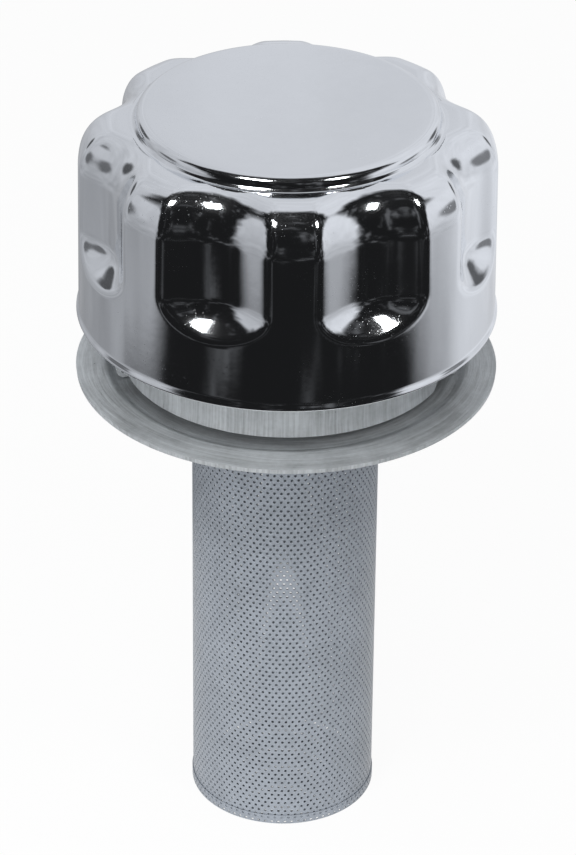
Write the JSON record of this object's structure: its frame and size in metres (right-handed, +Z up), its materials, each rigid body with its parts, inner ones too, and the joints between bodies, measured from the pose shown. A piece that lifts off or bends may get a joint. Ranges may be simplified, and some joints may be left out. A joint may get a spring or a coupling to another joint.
{
  "type": "breather_vent_cap",
  "caption": "Fluted metal breather cap with a bayonet neck, round saucer flange and a deep perforated strainer basket for an oil tank filler",
  "frame": {"origin": "on the cap's axis, level with the underside of the flange floor, where it meets the tank", "axes": "+Z up along the cap's axis, -Y towards the viewer of the picture, +X to the right"},
  "size_m": [0.0828, 0.0828, 0.1552],
  "materials": {
    "chrome_plate": "bright chrome plate on drawn steel sheet",
    "zinc_steel": "dull zinc plate with fine drawing marks",
    "mesh_steel": "finely perforated blue-grey steel sheet",
    "gasket_rubber": "matt black nitrile rubber",
    "spring_steel": "drawn spring wire",
    "filter_paper": "resin-treated pleated paper",
    "end_resin": "moulded soft resin",
    "bush_brass": "turned brass"
  },
  "bodies": {
    "neck": {"mounting_flange": "zinc_steel", "neck_ring": "zinc_steel", "tank_gasket": "gasket_rubber", "basket_gasket": "gasket_rubber", "basket_collar": "zinc_steel", "basket_tube": "mesh_steel", "basket_floor": "mesh_steel"},
    "cap": {"cap_shell": "chrome_plate", "bayonet_yoke": "zinc_steel", "centre_stud": "zinc_steel", "stud_spacer": "zinc_steel", "yoke_nut": "zinc_steel", "cartridge_spring": "spring_steel", "base_washer": "zinc_steel", "base_nut": "zinc_steel"},
    "cartridge": {"cartridge_base": "zinc_steel", "cap_gasket": "gasket_rubber", "filter_core": "mesh_steel", "lower_end_ring": "end_resin", "upper_end_ring": "end_resin", "filter_pleats": "filter_paper", "cartridge_lid": "zinc_steel", "guide_bush": "bush_brass"}
  },
  "joints": [
    {"name": "cap_turn", "type": "hinge", "parent": "neck", "child": "cap", "pos_m": [0, 0, 0.02], "axis": [0, 0, 1], "range_deg": [-90, 0]},
    {"name": "cartridge_lift", "type": "slide", "parent": "cap", "child": "cartridge", "axis": [0, 0, 1], "range_m": [0, 0.0015], "stiffness_N_per_m": 2500, "springref_m": -0.004, "deforming": ["cartridge_spring"]}
  ]
}
